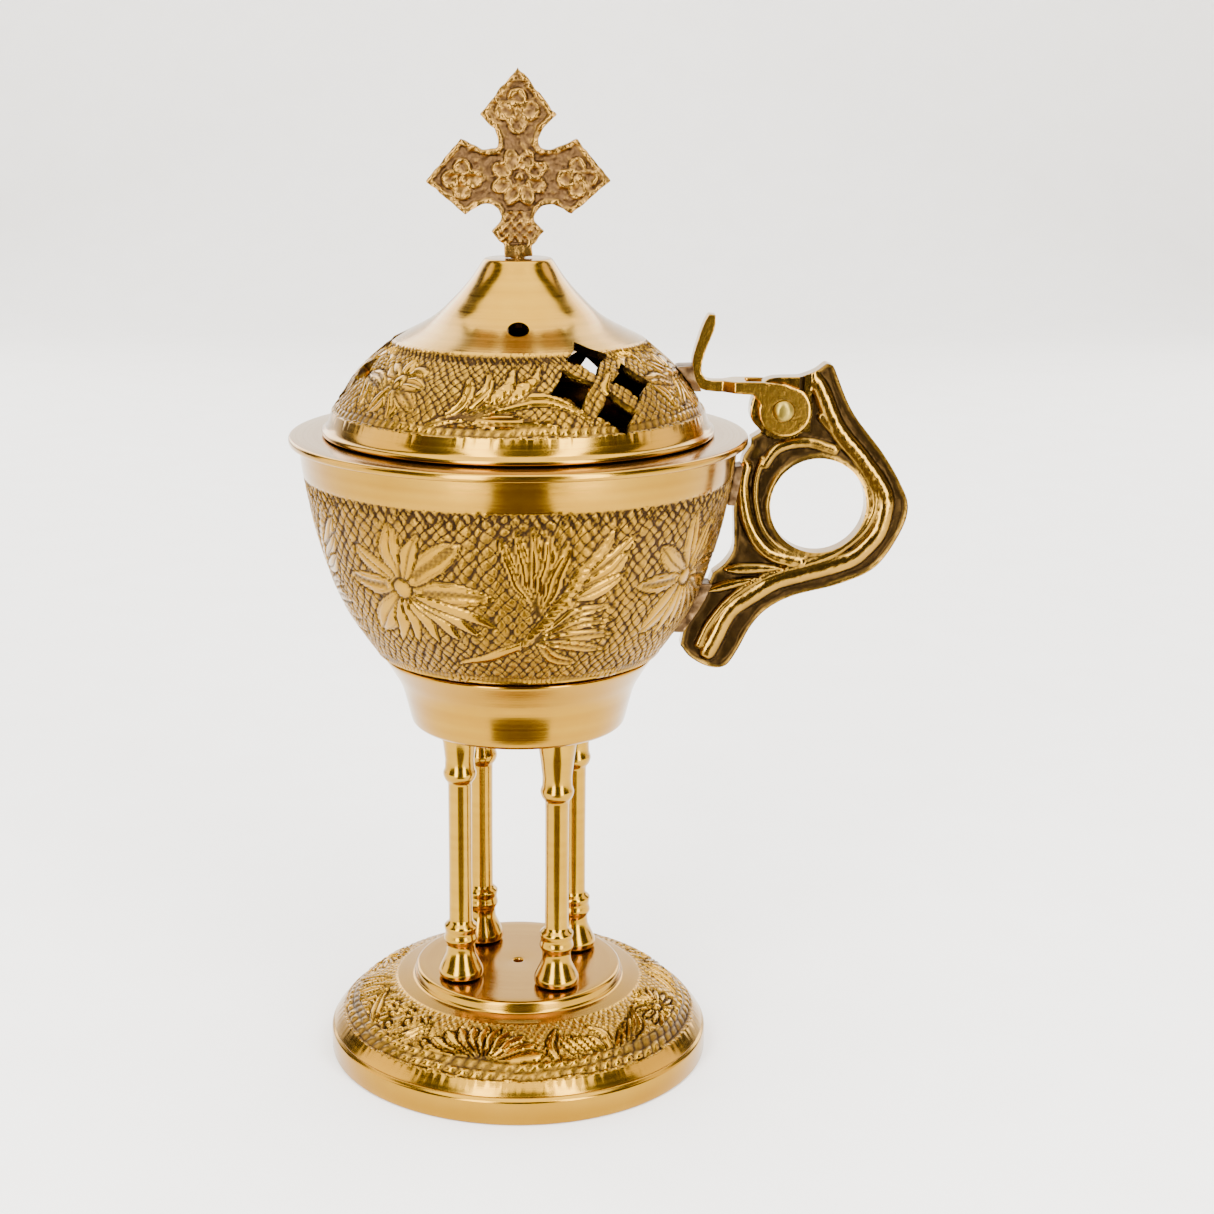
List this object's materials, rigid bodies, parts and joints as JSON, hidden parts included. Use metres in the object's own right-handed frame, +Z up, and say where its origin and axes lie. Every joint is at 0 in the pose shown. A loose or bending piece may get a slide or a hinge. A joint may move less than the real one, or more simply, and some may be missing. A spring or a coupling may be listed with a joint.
{
  "type": "hand censer",
  "caption": "Brass hand censer: engraved bowl on turned pillars and a round foot, hinged pierced lid with cross finial, scroll handle with finger hole.",
  "frame": {"origin": "centre of the bounding box at the underside of the foot; the bowl axis stands 17 mm towards -X", "axes": "+Z up along the bowl axis, +X from the bowl towards the handle, +Y away from the front, along the hinge pin"},
  "size_m": [0.13, 0.096, 0.2125],
  "materials": {
    "polished_brass": "turned and polished bright",
    "engraved_brass": "engraved by hand, high spots polished, dark in the cuts",
    "antique_brass": "sand cast, dark antique finish, buffed on the ridges",
    "cross_brass": "cast relief, roughly tumbled",
    "fastener_brass": "plain machined",
    "liner_brass": "spun, heat tinted",
    "solder": "brazing fillet, pinkish grey"
  },
  "bodies": {
    "stand": {"base_foot": "polished_brass", "pillar_front_left": "polished_brass", "pillar_front_right": "polished_brass", "pillar_rear_left": "polished_brass", "pillar_rear_right": "polished_brass", "foot_screw_front_left": "fastener_brass", "foot_screw_front_right": "fastener_brass", "foot_screw_rear_left": "fastener_brass", "foot_screw_rear_right": "fastener_brass", "collar_screw_front_left": "fastener_brass", "collar_screw_front_right": "fastener_brass", "collar_screw_rear_left": "fastener_brass", "collar_screw_rear_right": "fastener_brass", "bowl_collar": "polished_brass", "bowl": "engraved_brass", "bowl_bolt": "fastener_brass", "bowl_washer": "fastener_brass", "bowl_nut": "fastener_brass", "handle": "antique_brass", "handle_solder_upper": "solder", "handle_solder_lower": "solder"},
    "lid": {"lid": "engraved_brass", "cross": "cross_brass", "cross_nut": "fastener_brass", "lid_arm": "antique_brass", "arm_solder": "solder", "hinge_pin": "fastener_brass"},
    "cup": {"charcoal_cup": "liner_brass"}
  },
  "joints": [
    {"name": "lid_hinge", "type": "hinge", "parent": "stand", "child": "lid", "pos_m": [0.0379, 0, 0.1432], "axis": [0, 1, 0], "range_deg": [0, 80]},
    {"name": "charcoal_cup_lift", "type": "slide", "parent": "stand", "child": "cup", "axis": [0, 0, 1], "range_m": [0, 0.02]}
  ]
}
